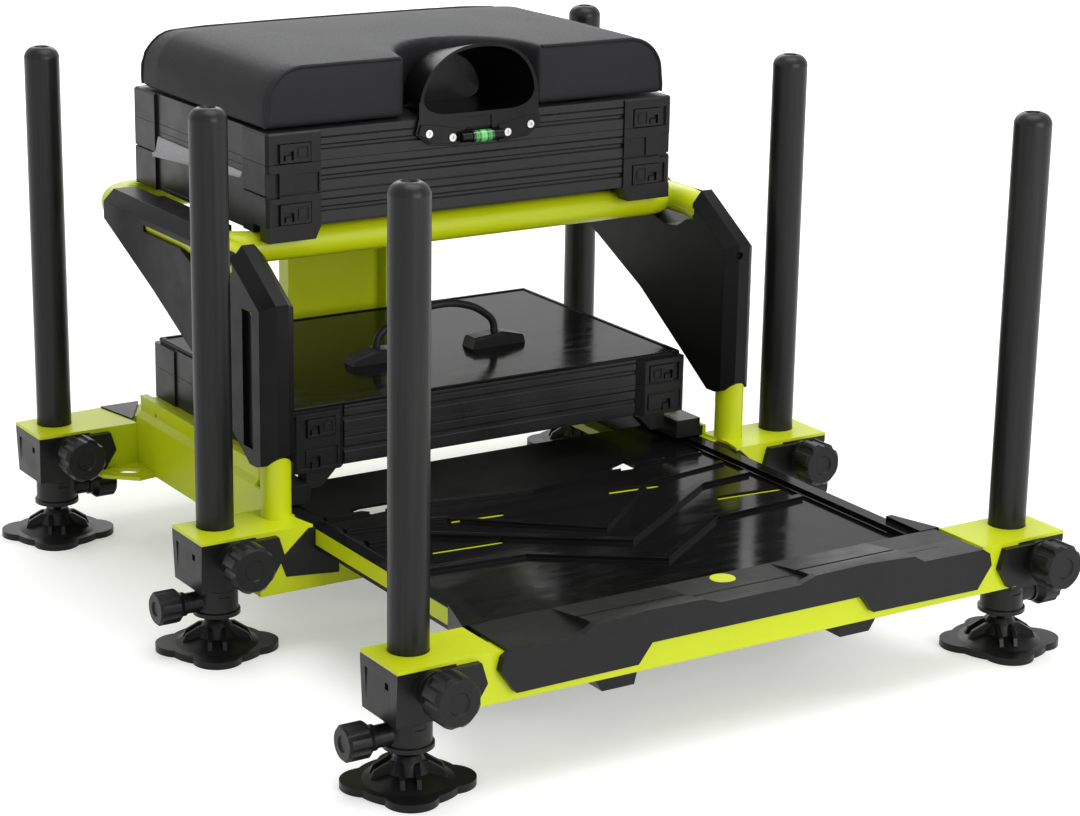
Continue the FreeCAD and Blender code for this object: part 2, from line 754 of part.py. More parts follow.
def seam_ring(plan, setback, height):
    # A ring that cuts a shadow line round a case whose skin stands behind its bracket faces by setback.
    half = plan["half"] - setback
    front = plan["front"] + setback
    rear = plan["rear"] - setback
    ring = box(-half - 1, half + 1, front - 1, rear + 1, height - seam_half, height + seam_half)
    core = box(-half + seam_depth, half - seam_depth, front + seam_depth, rear - seam_depth,
               height - 2, height + 2)
    return ring.cut(core)


def case_body(plan, bottom, top, skirt):
    # Outer block of a case layer between its corner brackets; the ribbed skin starts at the skirt.
    half, front, rear = plan["half"], plan["front"], plan["rear"]
    wall, side_wall, skin = plan["wall"], plan["side_wall"], plan["skin"]
    inner = half - plan["width"] - plan["flank"]
    core = box(-half + side_wall, half - side_wall, front + wall, rear - wall, bottom, top)
    ribbed = box(-inner, inner, front + wall - skin, rear - wall + skin, skirt, top)
    side_half = half - side_wall + 2.0
    side = box(-side_half, side_half, front + plan["side_width"], rear - plan["side_width"], bottom, top)
    return fuse([core, ribbed, side])


def latch_pocket(latch, side, low, high):
    reach = latch["width"] / 2
    return box(side * (latch["centre"] - reach - 1), side * (latch["centre"] + reach + latch_travel + 1),
               latch["front"] - 1, latch["front"] + 2.5, low, high)


def latch_plate(latch, side, low, high):
    # A sliding plate with a window, a tongue standing in the window and a fine frame beside it.
    centre, reach = latch["centre"], latch["width"] / 2
    back = latch["front"] + latch_setback
    face = back - latch_thickness
    plate = box(side * (centre - reach), side * (centre + reach), face, back, low + 0.6, high - 0.6)
    frame = box(side * (centre - reach + 3), side * (centre - 1), face - 1, face + 1, low + 4, high - 4)
    panel = box(side * (centre - reach + 5), side * (centre - 3), face - 1, face + 1, low + 6, high - 6)
    window = box(side * (centre + 2), side * (centre + 13), face - 1, back + 1, low + 3, low + 12)
    tongue = box(side * (centre + 4), side * (centre + 10.5), face + 0.6, back, low + 2.5, low + 7.5)
    return plate.cut([frame.cut(panel), window]).fuse(tongue).removeSplitter()


def build_case_shell():
    block = case_body(case_plan, case_bottom, case_split, case_skirt)
    inner_half = case_half - bracket_wall - case_wall
    inner_front = case_front + bracket_wall + case_wall
    inner_rear = case_rear - bracket_wall - case_wall
    plinth_front = case_front + plinth_setback
    inner = box(-inner_half, inner_half, inner_front, inner_rear, case_skirt + case_wall, case_split + 1)
    well = box(-inner_half, inner_half, plinth_front + case_wall, inner_rear,
               case_bottom + case_wall, case_skirt + case_wall + 1)
    recess = box(-case_half - 1, case_half + 1, case_front - 1, plinth_front, case_bottom - 1, case_skirt)
    floor = case_bottom + case_wall
    opening = box(-case_half - 1, -case_half + 20, drawer_front_y, drawer_rear_y, floor, drawer_top + seam_gap)
    grooves = rib_grooves(case_plan, case_skirt + 13.3, case_skirt + 22.6)
    grooves += rib_grooves(case_plan, case_layer + 13.3, case_layer + 22.6)
    ring = seam_ring(case_plan, bracket_wall - rib_plate, case_layer)
    shell = cut(block, [inner, well, recess, opening, ring] + grooves)
    runner_start = -case_half + bracket_wall
    runners = [box(runner_start, runner_start + drawer_depth, y, y + 4, floor - 1, floor + 16)
               for y in (drawer_front_y - 4, drawer_rear_y)]
    return [fuse([shell] + runners + hinge_knuckles(knuckle_start, case_split - 6, case_split - seam_gap))]


def hinge_knuckles(start, low, high):
    # One barrel each side of the middle, with a leaf from low to high joining it to the wall.
    wall = case_rear - bracket_wall + rib_plate
    parts = []
    for x in (start, -start - knuckle_length):
        parts.append(rod(vec(x, hinge_y, hinge_z), X_AXIS, knuckle_length, hinge_radius))
        parts.append(box(x, x + knuckle_length, wall, hinge_y, low, high))
    return parts


def build_case_corners():
    front, back = corner_bracket(case_plan, case_bottom, case_split)
    recess = box(-case_half - 1, case_half + 1, case_front - 1, case_front + plinth_setback,
                 case_bottom - 1, case_skirt)
    foot_bottom = case_bottom - 6.3
    foot = prism_xz([(-case_half + 1.4, case_skirt), (-case_half + 1.4, foot_bottom),
                     (-case_half + 53, foot_bottom), (-case_half + 60, case_skirt)],
                    case_front, case_front + 18.0)
    front = fuse([front.cut(recess), foot])
    face = case_front - 1
    low_panel = box(-case_half + 31.5, -case_half + 57, face, case_front + 2.2, case_layer - 1, case_layer + 20)
    outer_end = box(-case_half - 1, -case_half + 14, face, case_front + 4, case_layer - 2.9, case_layer + 22)
    pocket = latch_pocket(case_latch, LEFT, case_skirt + 1.4, case_skirt + 22.6)
    front = cut(front, [pocket, low_panel, outer_end, seam_ring(case_plan, 0.0, case_layer)])
    back = back.cut(seam_ring(case_plan, 0.0, case_layer))
    return both_sides(front) + both_sides(back)


def build_side_drawer():
    front_x = -case_half + drawer_face
    y0 = drawer_front_y + drawer_side_gap
    y1 = drawer_rear_y - drawer_side_gap
    tray = box(front_x, front_x + drawer_depth, y0, y1, drawer_floor, drawer_top)
    hollow = box(front_x + 4, front_x + drawer_depth - drawer_wall, y0 + drawer_wall, y1 - drawer_wall,
                 drawer_floor + drawer_wall, drawer_top + 1)
    lip_seat = pull_wedge(front_x - 1, front_x + pull_seat, seam_gap)
    return [cut(tray, [hollow, lip_seat])]


def pull_ends():
    # Where the pull starts and stops, with the heights of its edges and how far it stands out there.
    return ((drawer_rear_y - pull_inset, case_layer - 2.9, case_layer + 17.1, 9.0),
            (drawer_front_y + pull_inset, case_layer + 9.6, case_layer + 15.1, 4.3))


def pull_wedge(x0, x1, margin):
    (rear_y, rear_low, rear_high, _), (front_y, front_low, front_high, _) = pull_ends()
    return prism_yz([(rear_y + margin, rear_low - margin), (rear_y + margin, rear_high + margin),
                     (front_y - margin, front_high + margin), (front_y - margin, front_low - margin)], x0, x1)


def build_drawer_pull():
    face = -case_half + drawer_face
    sections = []
    for y, low, high, reach in pull_ends():
        points = [vec(x, y, z) for x, z in (
            (face + pull_seat, low), (face - 0.9 * reach, low), (face - reach, low + 0.2 * (high - low)),
            (face - 0.55 * reach, low + 0.28 * (high - low)), (face - 0.2 * reach, high),
            (face + pull_seat, high))]
        sections.append(Part.makePolygon(points + points[:1]))
    return [Part.makeLoft(sections, True, True)]


def build_lid_frame():
    bottom = case_split + seam_gap
    block = case_body(case_plan, bottom, lid_top, bottom)
    inner = box(-case_half + bracket_wall + case_wall, case_half - bracket_wall - case_wall,
                case_front + bracket_wall + case_wall, case_rear - bracket_wall - case_wall,
                bottom - 1, lid_top - case_wall)
    shell = cut(block, [inner] + rib_grooves(case_plan, case_split + 13.3, case_split + 22.6))
    return [fuse([shell] + hinge_knuckles(knuckle_start + knuckle_length + seam_gap, hinge_z, hinge_z + 7))]


def build_lid_corners():
    bottom = case_split + seam_gap
    front, back = corner_bracket(case_plan, bottom, lid_top)

    def on_rim(edge):
        spot = edge.CenterOfMass
        outer = spot.x < -case_half + 2 or spot.y < case_front + 2 or spot.y > case_rear - 2
        return outer and edge.BoundBox.ZMin > lid_top - 0.1

    front = chamfer_where(front, 2.0, on_rim)
    back = chamfer_where(back, 2.0, on_rim)
    pocket = latch_pocket(case_latch, LEFT, case_split - 1, case_split + 20.3)
    return both_sides(front.cut(pocket)) + both_sides(back)


def build_case_latch(side):
    return [latch_plate(case_latch, side, case_skirt + 1.4, case_skirt + 22.6)]


def build_lid_latch(side):
    return [latch_plate(case_latch, side, case_split + 0.6, case_split + 20.3)]


# Seat pad and pole cup

def pad_section(y, half, height, drop):
    base = lid_top + seam_gap
    shoulder = base + height - drop - pad_edge_radius
    side_x = half - pad_lean
    top_x = side_x - pad_edge_radius
    top_z = base + height - drop
    diagonal = pad_edge_radius * (1 - math.sqrt(0.5))
    right = [
        Part.LineSegment(vec(half, y, base), vec(side_x, y, shoulder)).toShape(),
        Part.Arc(vec(side_x, y, shoulder), vec(side_x - diagonal, y, top_z - diagonal),
                 vec(top_x, y, top_z)).toShape(),
    ]
    crown = Part.Arc(vec(top_x, y, top_z), vec(0, y, base + height), vec(-top_x, y, top_z)).toShape()
    left = [
        Part.Arc(vec(-top_x, y, top_z), vec(-side_x + diagonal, y, top_z - diagonal),
                 vec(-side_x, y, shoulder)).toShape(),
        Part.LineSegment(vec(-side_x, y, shoulder), vec(-half, y, base)).toShape(),
    ]
    bottom = Part.LineSegment(vec(-half, y, base), vec(half, y, base)).toShape()
    return Part.Wire(right + [crown] + left + [bottom])


def build_seat_pad():
    middle = (pad_front + pad_rear) / 2
    sections = [
        pad_section(pad_front, pad_half - 1, pad_front_height, 0.6),
        pad_section(pad_front + 22, pad_half, pad_front_height + 2, 1.2),
        pad_section(middle, pad_half, pad_crown, 2.0),
        pad_section(pad_rear - 45, pad_half, pad_crown - 1, 2.0),
        pad_section(pad_rear, pad_half - 3, pad_front_height - 3, 2.0),
    ]
    pad = Part.makeLoft(sections, True, False)
    outline = Part.Wire(Part.Ellipse(ORIGIN, notch_depth, notch_half).toShape())
    notch = Part.Face(outline).extrude(vec(0, 0, 100))
    notch.rotate(ORIGIN, Z_AXIS, 90)
    notch.translate(vec(0, pad_front, lid_top))
    return [biggest(pad.cut(notch))]


def cup_ring(y, half, low, high, tilt):
    # Closed outline of the cup at one station, flat below and round above, its top leaning forward.
    def place(across, up):
        rise = up * (high - low)
        return vec(across * half, y - tilt * rise, low + rise)

    def corner(spots):
        curve = Part.BezierCurve()
        curve.setPoles([place(*spot) for spot in spots])
        return curve.toShape()

    arcs = [((1, 0.26), (0.87, 0.61), (0.34, 0.965)), ((0.34, 0.965), (0, 1), (-0.34, 0.965)),
            ((-0.34, 0.965), (-0.87, 0.61), (-1, 0.26))]
    edges = [corner([(0.5, 0), (0.97, 0), (1, 0.26)])]
    edges += [Part.Arc(*[place(*spot) for spot in arc]).toShape() for arc in arcs]
    edges += [corner([(-1, 0.26), (-0.97, 0), (-0.5, 0)])]
    edges.append(Part.LineSegment(place(-0.5, 0), place(0.5, 0)).toShape())
    return Part.Wire(edges)


def build_pole_cup():
    low = lid_top + seam_gap
    front = case_front - 0.5
    back = case_front + cup_depth
    floor = low + cup_wall - seam_gap
    rim = cup_ring(front, cup_half + cup_wall, low, low + cup_height + cup_wall, cup_tilt)
    tail = cup_ring(back, cup_back_half, low, low + cup_back_height + cup_wall, 0.0)
    outer = Part.makeLoft([rim, tail], True, True)
    mouth = cup_ring(front - 1.4, cup_half, floor, low + cup_height, cup_tilt)
    end = cup_ring(back - cup_wall, cup_back_half - cup_wall, floor, low + cup_back_height, 0.0)
    inner = Part.makeLoft([mouth, end], True, True)
    way_in = Part.Face(mouth).extrude(vec(0, -12.0, 0))
    apron_back = case_front + bracket_wall - rib_plate - seam_gap
    left = [(-69, 17.7), (-69, 1.7), (-73, -14.3), (-56, -26.3), (-24, -29.3), (-19.5, -19.3), (-14, -12.3)]
    outline = left + [(-x, z) for x, z in reversed(left)]
    apron = prism_xz([(x, lid_top + z) for x, z in outline], cup_apron_front, apron_back)
    wing_outline = [(-22, -12), (-22, -27), (-56, -24.3), (-70.5, -14), (-67.5, -5), (-50, -6.5)]
    wing = prism_xz([(x, lid_top + z) for x, z in wing_outline], wing_front, cup_apron_front + 1)
    cap = rod(vec(-24, vial_y, vial_z), X_AXIS, 24 - vial_half - 0.2, vial_radius - 1)
    arm = box(-24, -15.5, vial_y, apron_back, vial_z - 4, vial_z + 4)
    body = fuse([outer, apron] + both_sides(wing) + both_sides(cap) + both_sides(arm))
    seats = [rod(vec(x, wing_front - 0.1, lid_top + z), Y_AXIS, screw_seat + 0.1, screw_radius + 0.8)
             for x, z in screw_places]
    niche = box(-14.5, 14.5, cup_apron_front - 1, cup_apron_front + 1.5, lid_top - 12.5, lid_top - 1.3)
    return [cut(body, [inner, way_in, niche] + seats)]


def build_bubble_level():
    return [rod(vec(-vial_half, vial_y, vial_z), X_AXIS, 2 * vial_half, vial_radius)]


def build_cup_screws():
    screws = []
    for x, z in screw_places:
        floor = wing_front + screw_seat
        head = rod(vec(x, floor - 2.3, lid_top + z), Y_AXIS, 2.3, screw_radius)
        socket = rod(vec(x, floor - 2.4, lid_top + z), Y_AXIS, 1.5, 1.8)
        screws.append(head.cut(socket))
    return screws


# Lower case

def tray_body(bottom, top, skirt, wide, narrow):
    block = case_body(tray_plan, bottom, top, skirt)
    side = tray_half - 2 * tray_wall
    end = tray_face + tray_skin + tray_wall
    inner = box(-side, side, tray_front + end, tray_rear - end, bottom + 3, top + 1)
    return cut(block, [inner] + rib_grooves(tray_plan, wide, narrow))


def build_tray_lower():
    body = tray_body(tray_bottom, tray_split, tray_bottom + 3.5, tray_bottom + 16.3, tray_bottom + 28.0)
    half = tray_half
    foot = prism_xz([
        (-half + 18.4, tray_bottom), (-half + 18.4, tray_bottom - 20), (-half + 35, tray_bottom - 20),
        (-half + 51, tray_bottom - 4), (-half + 51, tray_bottom),
    ], tray_front + 10, tray_front + 28)
    return [fuse([body] + both_sides(foot))]


def build_tray_upper():
    bottom = tray_split + seam_gap
    return [tray_body(bottom, tray_top, bottom, tray_split + 14.0, tray_split + 24.0)]


def build_tray_corners():
    low_front, low_back = corner_bracket(tray_plan, tray_bottom, tray_split)
    face = tray_front - 1
    centre = tray_latch["centre"]
    frame = box(-centre - 24, -centre + 18, face, tray_front + 1.2, tray_bottom + 4, tray_bottom + 24)
    panel = box(-centre - 17, -centre + 16, face, tray_front + 2, tray_bottom + 6, tray_bottom + 22)
    window = box(-centre - 12, -centre - 1, face, tray_front + 4, tray_bottom + 3.5, tray_bottom + 15.5)
    tongue = box(-centre - 10, -centre - 3, tray_front + 0.8, tray_front + 5, tray_bottom + 3, tray_bottom + 10)
    low_front = low_front.cut([frame.cut(panel), window]).fuse(tongue).removeSplitter()
    high_front, high_back = corner_bracket(tray_plan, tray_split + seam_gap, tray_bracket_top)
    high_front = high_front.cut(latch_pocket(tray_latch, LEFT, tray_split + 1.5, tray_split + 20.5))
    parts = []
    for piece in (low_front, low_back, high_front, high_back):
        parts += both_sides(piece)
    return parts


def build_tray_latch(side):
    return [latch_plate(tray_latch, side, tray_split + 1.5, tray_split + 20.5)]


def build_tray_lid():
    base = tray_top + seam_gap
    half = tray_half - tray_wall
    front = tray_front + tray_face
    rear = tray_rear - tray_face
    plate = box(-half, half, front, rear, base, tray_lid_top)
    plate = chamfer_where(plate, 1.0, lambda edge: edge.BoundBox.ZMin > tray_lid_top - 0.1)
    rim = 4.0
    well = box(-half + rim, half - rim, front + 1.5, rear - rim, tray_lid_top - lid_well, tray_lid_top + 1)
    return [plate.cut(well)]


def build_handle_mounts():
    floor = tray_lid_top - lid_well
    half = mount_length / 2
    block = prism_xz([
        (-mount_span - half, floor), (-mount_span + half, floor), (-mount_span + half - 4, floor + 12),
        (-mount_span - 6, floor + 15), (-mount_span - half + 2, floor + 9),
    ], mount_y - 11, mount_y + 11)
    block = chamfer_where(
        block, 2.5, lambda edge: edge.BoundBox.ZMin > floor + 5 and not is_along(edge, Y_AXIS))
    bore = rod(vec(-mount_span, mount_y, grip_seat - seam_gap), Z_AXIS, 20, grip_radius + seam_gap)
    return both_sides(block.cut(bore))


def build_carry_handle():
    points = [vec(x, mount_y + dy, grip_seat + z) for x, dy, z in grip_points]
    radii = []
    for before, corner, after in zip(points, points[1:], points[2:]):
        shorter = min((before - corner).Length, (after - corner).Length)
        turn = math.pi - (before - corner).getAngle(after - corner)
        radii.append(0.45 * shorter / math.tan(turn / 2))
    print("carry handle radii", [round(radius, 1) for radius in radii])
    path = bent_path(points, radii)
    grip = tube_along(path, points[1] - points[0], grip_radius)
    print("carry handle volume", round(grip.Volume), "section times length",
          round(math.pi * grip_radius ** 2 * path.Length))
    return [grip]


# Footplate

def build_footplate_frame():
    local = local_footplate_casting()
    castings = [placed(local, *leg_row(name)) for name in ("FL", "FR")]
    reach = leg_half_span - casting_inner
    bar = box(-reach, reach, footplate_front, footplate_front + front_bar_depth, front_bar_bottom, deck_under)
    rail = box(-footplate_half, -footplate_half + footplate_rail, footplate_front + front_bar_depth,
               footplate_rear, footplate_rail_bottom, footplate_rail_top)
    struts = [box(-footplate_half, footplate_half, y, y + strut_width, tread_bottom - 6, tread_bottom)
              for y in (middle_row - 158, middle_row - 81, footplate_rear - strut_width)]
    tab_bottom = tread_bottom + 2
    tab = box(-22, 22, footplate_front + front_bar_depth - 1, apron_back - 1.0, tab_bottom, deck_under)
    stud = rod(vec(0, stud_y, tab_bottom), Z_AXIS, deck_height + 1.5 - tab_bottom, stud_radius)
    return [fuse(castings + [bar] + both_sides(rail) + struts + [tab, stud])]


def v_ridge(inner, vertex, knee, knee_back, end_back, width, rise, sheet_top):
    # A shallow V of a rib across the tread, its knee and ends set as shares of the pan's half width.
    knee_x = knee * inner
    end_x = ridge_end * inner
    front = [(-end_x, end_back), (-knee_x, knee_back), (0, vertex), (knee_x, knee_back), (end_x, end_back)]
    back = [(x, y + width) for x, y in reversed(front)]
    return prism_xy([(x, front_row + y) for x, y in front + back], sheet_top - 1, sheet_top + rise)


def build_footplate_tread():
    inner = footplate_half - footplate_rail - seam_gap
    neck = front_row + 74.0
    sheet_top = tread_bottom + tread_sheet
    pan = box(-inner, inner, apron_back, footplate_rear, tread_bottom, sheet_top)
    over = footplate_rail_top + 0.2
    cap = prism_xz([
        (-footplate_half, over), (-footplate_half, tread_rim_top), (-inner + 8, tread_rim_top),
        (-inner + 8, sheet_top - 1), (-inner, sheet_top - 1), (-inner, over),
    ], apron_back, footplate_rear)
    inner_rim = box(-inner + 12, -inner + 15, apron_back + 30, footplate_rear - 10,
                    sheet_top - 1, sheet_top + 2.5)
    skirt = prism_xy([(-footplate_half - 0.2, neck), (-footplate_half - 3, neck), (-apron_half - 4, apron_back),
                      (-footplate_half - 0.2, apron_back)], footplate_rail_bottom, over)
    wing = prism_xy([(-footplate_half + 4, neck), (-footplate_half - 3, neck), (-apron_half - 4, apron_back),
                     (-footplate_half + 4, apron_back)], over, deck_height + 1.0)
    edges = both_sides(cap) + both_sides(inner_rim) + both_sides(skirt) + both_sides(wing)
    ridges = [v_ridge(inner, *ridge, sheet_top) for ridge in tread_ridges]
    tread = fuse([pan] + edges + ridges)
    slots = []
    for start, length, back, width in tread_slots:
        x0 = start * inner
        x1 = x0 + length
        y = front_row + back
        slot = prism_xy([(x0, y), (x1, y - 6.0), (x1 + 6, y + width - 6.0), (x0 + 6, y + width)],
                        tread_bottom - 1, tread_rim_top + 5)
        slots.append(slot)
    for outline in tread_windows:
        slots.append(prism_xy([(share * inner, front_row + back) for share, back in outline],
                              tread_bottom - 1, tread_rim_top + 5))
    return [biggest(cut(tread, slots))]


def bumper_face_outline():
    half = footplate_half
    left = [(-116, -19), (-130, -37), (-half - 8, -38), (-half - 24, -16), (-half - 21, -4), (-half - 13, 1),
            (-half + 59, 2), (-half + 71, 9), (-120, 12), (-62, 11), (-44, 5)]
    outline = left + [(-x, z) for x, z in reversed(left)]
    return [(x, deck_height + z) for x, z in outline]


def build_footplate_bumper():
    face_y = footplate_front - bumper_thickness
    face = prism_xz(bumper_face_outline(), face_y, footplate_front - 0.2)
    base = deck_under + 0.2
    back = apron_back - seam_gap

    def lip(half, height, depth):
        top = deck_height + height
        return prism_yz([(face_y, base), (face_y, top), (face_y + depth, top - 1), (back, deck_height + 0.5),
                         (back, base)], -half, half)

    apron = lip(footplate_half + 13, 1.0, 40.0)
    shoulder_half = footplate_half - 71
    middle = box(-62, shoulder_half + 1, face_y - 1, back + 1, base - 1, deck_height + 20)
    shoulders = both_sides(lip(shoulder_half, 9.0, 22.0).cut(middle))
    centre = lip(62.0, 4.0, 26.0)
    bumper = fuse([face, apron, centre] + shoulders)
    groove = prism_yz([(footplate_front + 18, deck_height + 16), (footplate_front + 22, deck_height - 1.5),
                       (footplate_front + 26, deck_height + 16)], -footplate_half + 17, footplate_half - 17)
    stud_hole = rod(vec(0, stud_y, deck_under), Z_AXIS, 20, stud_radius + seam_gap)
    return [cut(bumper, [groove, stud_hole])]


def build_footplate_slides():
    strip = box(-footplate_half, -footplate_half + footplate_rail, footplate_front + front_bar_depth + 2,
                footplate_rear, footplate_rail_bottom - wear_strip, footplate_rail_bottom)
    skid_y = front_row - 22.0
    top = front_bar_bottom
    skid = prism_xz([(-skid_span - 26, top), (-skid_span - 12, top - skid_height),
                     (-skid_span + 22, top - skid_height), (-skid_span + 27, top)], skid_y, skid_y + 24)
    return both_sides(strip) + both_sides(skid)


def main():
    os.makedirs("parts", exist_ok=True)
    for name, (side, row, knob_side) in legs.items():
        export("leg_" + name, build_leg(side, row, knob_side))
        export("foot_" + name, build_foot(side, row))
        export("clamp_knob_" + name, build_clamp_knob(side, row))
        export("foot_knob_" + name, build_foot_knob(side, row, knob_side))
    export("chassis_castings", build_castings())
    export("chassis_crossbeams", build_crossbeams())
    export("chassis_rails", build_rails())
    export("chassis_guides", build_guides())
    export("chassis_clamp_shells", build_shells(["ML", "MR", "RL", "RR"]))
    export("seat_frame", build_seat_frame())
    export("side_cover_left", build_side_cover(LEFT))
    export("side_cover_right", build_side_cover(RIGHT))
    export("back_panel", build_back_panel())
    export("case_shell", build_case_shell())
    export("case_corners", build_case_corners())
    export("side_drawer", build_side_drawer())
    export("drawer_pull", build_drawer_pull())
    export("lid_frame", build_lid_frame())
    export("lid_corners", build_lid_corners())
    export("seat_pad", build_seat_pad())
    export("pole_cup", build_pole_cup())
    export("bubble_level", build_bubble_level())
    export("cup_screws", build_cup_screws())
    export("tray_lower", build_tray_lower())
    export("tray_upper", build_tray_upper())
    export("tray_corners", build_tray_corners())
    export("tray_lid", build_tray_lid())
    export("handle_mounts", build_handle_mounts())
    export("carry_handle", build_carry_handle())
    export("footplate_frame", build_footplate_frame())
    export("footplate_tread", build_footplate_tread())
    export("footplate_bumper", build_footplate_bumper())
    export("footplate_slides", build_footplate_slides())
    export("footplate_clamp_shells", build_shells(["FL", "FR"]))
    for side, word in ((LEFT, "left"), (RIGHT, "right")):
        export("case_latch_" + word, build_case_latch(side))
        export("lid_latch_" + word, build_lid_latch(side))
        export("tray_latch_" + word, build_tray_latch(side))


main()
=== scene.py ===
import json
import math

import bmesh
import bpy
import numpy as np
from mathutils import Matrix, Vector
from mathutils.bvhtree import BVHTree


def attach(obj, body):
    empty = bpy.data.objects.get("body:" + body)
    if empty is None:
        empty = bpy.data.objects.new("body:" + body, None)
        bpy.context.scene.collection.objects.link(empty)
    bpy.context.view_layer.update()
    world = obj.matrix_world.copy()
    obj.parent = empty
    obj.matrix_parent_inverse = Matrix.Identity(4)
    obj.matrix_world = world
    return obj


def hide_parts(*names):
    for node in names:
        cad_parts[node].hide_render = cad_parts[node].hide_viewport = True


# Fishing seat box: materials, seat cushion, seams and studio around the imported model. Metres.

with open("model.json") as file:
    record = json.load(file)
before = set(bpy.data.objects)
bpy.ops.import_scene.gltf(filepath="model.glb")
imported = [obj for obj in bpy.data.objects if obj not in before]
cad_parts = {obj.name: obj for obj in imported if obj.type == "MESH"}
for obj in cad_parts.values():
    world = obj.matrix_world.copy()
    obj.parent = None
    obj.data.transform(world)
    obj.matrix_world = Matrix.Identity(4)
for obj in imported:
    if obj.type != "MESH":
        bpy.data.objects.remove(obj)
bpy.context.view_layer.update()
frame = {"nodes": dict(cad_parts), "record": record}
nodes = frame["nodes"]


# Camera, fitted to the photograph's vanishing points and leg positions

IMAGE_WIDTH = 1080.0
FOCAL_PIXELS = 2787.23
SENSOR_WIDTH = 36.0
YAW = math.radians(-32.518)
PITCH = math.radians(16.390)
ROLL = math.radians(0.943)
CAMERA_PLACE = Vector((-1.42179, -2.27497, 0.98360))


def add_camera():
    forward = Vector((-math.sin(YAW) * math.cos(PITCH), math.cos(YAW) * math.cos(PITCH), -math.sin(PITCH)))
    level = Vector((math.cos(YAW), math.sin(YAW), 0.0))
    upright = level.cross(forward)
    right = math.cos(ROLL) * level + math.sin(ROLL) * upright
    up = -math.sin(ROLL) * level + math.cos(ROLL) * upright
    data = bpy.data.cameras.new("photo_camera")
    data.sensor_width = SENSOR_WIDTH
    data.lens = FOCAL_PIXELS / IMAGE_WIDTH * SENSOR_WIDTH
    data.clip_start = 0.05
    data.clip_end = 60.0
    camera = bpy.data.objects.new("photo_camera", data)
    turn = Matrix((right, up, -forward)).transposed().to_4x4()
    camera.matrix_world = Matrix.Translation(CAMERA_PLACE) @ turn
    bpy.context.collection.objects.link(camera)
    bpy.context.scene.camera = camera


# Node helpers

EDGE_RADIUS = 0.0008
EDGE_SAMPLES = 4


class NodeTree:
    # Adds nodes to a tree, one call at a time.
    def __init__(self, tree):
        self.tree = tree

    def add(self, kind, **settings):
        node = self.tree.nodes.new(kind)
        for key, value in settings.items():
            setattr(node, key, value)
        return node

    def feed(self, socket, value):
        # Links the socket to another one, or gives it a fixed value.
        if isinstance(value, bpy.types.NodeSocket):
            self.tree.links.new(value, socket)
        else:
            socket.default_value = value

    def fill(self, node, **values):
        # Feeds inputs by name, where an underscore stands for a space.
        for key, value in values.items():
            self.feed(node.inputs[key.replace("_", " ")], value)

    def ramp(self, value, span, onto=(0.0, 1.0)):
        # Maps a value from one span onto another and clamps it there.
        node = self.add("ShaderNodeMapRange", clamp=True)
        self.fill(node, Value=value, From_Min=span[0], From_Max=span[1], To_Min=onto[0], To_Max=onto[1])
        return node.outputs["Result"]

    def math(self, operation, *values):
        node = self.add("ShaderNodeMath", operation=operation)
        for socket, value in zip(node.inputs, values):
            self.feed(socket, value)
        return node.outputs[0]


class Look(NodeTree):
    # A material with its textures in object coordinates.
    def __init__(self, name):
        self.material = bpy.data.materials.new(name)
        self.material.use_nodes = True
        super().__init__(self.material.node_tree)
        self.shader = self.tree.nodes["Principled BSDF"]
        self.place = self.add("ShaderNodeTexCoord").outputs["Object"]
        self.normal = None

    def set(self, **values):
        self.fill(self.shader, **values)

    def stretched(self, scale):
        mapping = self.add("ShaderNodeMapping")
        self.fill(mapping, Vector=self.place, Scale=scale)
        return mapping.outputs["Vector"]

    def noise(self, scale, detail=3.0, roughness=0.55, stretch=(1, 1, 1), distortion=0.0):
        node = self.add("ShaderNodeTexNoise")
        self.fill(node, Vector=self.stretched(stretch), Scale=scale, Detail=detail,
                  Roughness=roughness, Distortion=distortion)
        return node.outputs["Fac"]

    def cells(self, scale, feature="F1", stretch=(1, 1, 1)):
        node = self.add("ShaderNodeTexVoronoi", feature=feature)
        self.fill(node, Vector=self.stretched(stretch), Scale=scale)
        return node.outputs["Distance"]

    def mix(self, factor, first, second):
        node = self.add("ShaderNodeMix", data_type="RGBA")
        tones = [tone if isinstance(tone, bpy.types.NodeSocket) else (*tone, 1.0) for tone in (first, second)]
        self.fill(node, Factor=factor, A=tones[0], B=tones[1])
        return node.outputs["Result"]

    def shade_with(self, normal):
        self.normal = normal
        self.set(Normal=normal)

    def round_edges(self):
        # Shades hard edges as if they were rounded.
        node = self.add("ShaderNodeBevel", samples=EDGE_SAMPLES)
        self.fill(node, Radius=EDGE_RADIUS)
        self.shade_with(node.outputs["Normal"])

    def bump(self, height, distance, strength):
        # Adds relief on top of the rounded edges and of earlier relief.
        node = self.add("ShaderNodeBump")
        self.fill(node, Height=height, Distance=distance, Strength=strength)
        if self.normal is not None:
            self.fill(node, Normal=self.normal)
        self.shade_with(node.outputs["Normal"])


# Materials

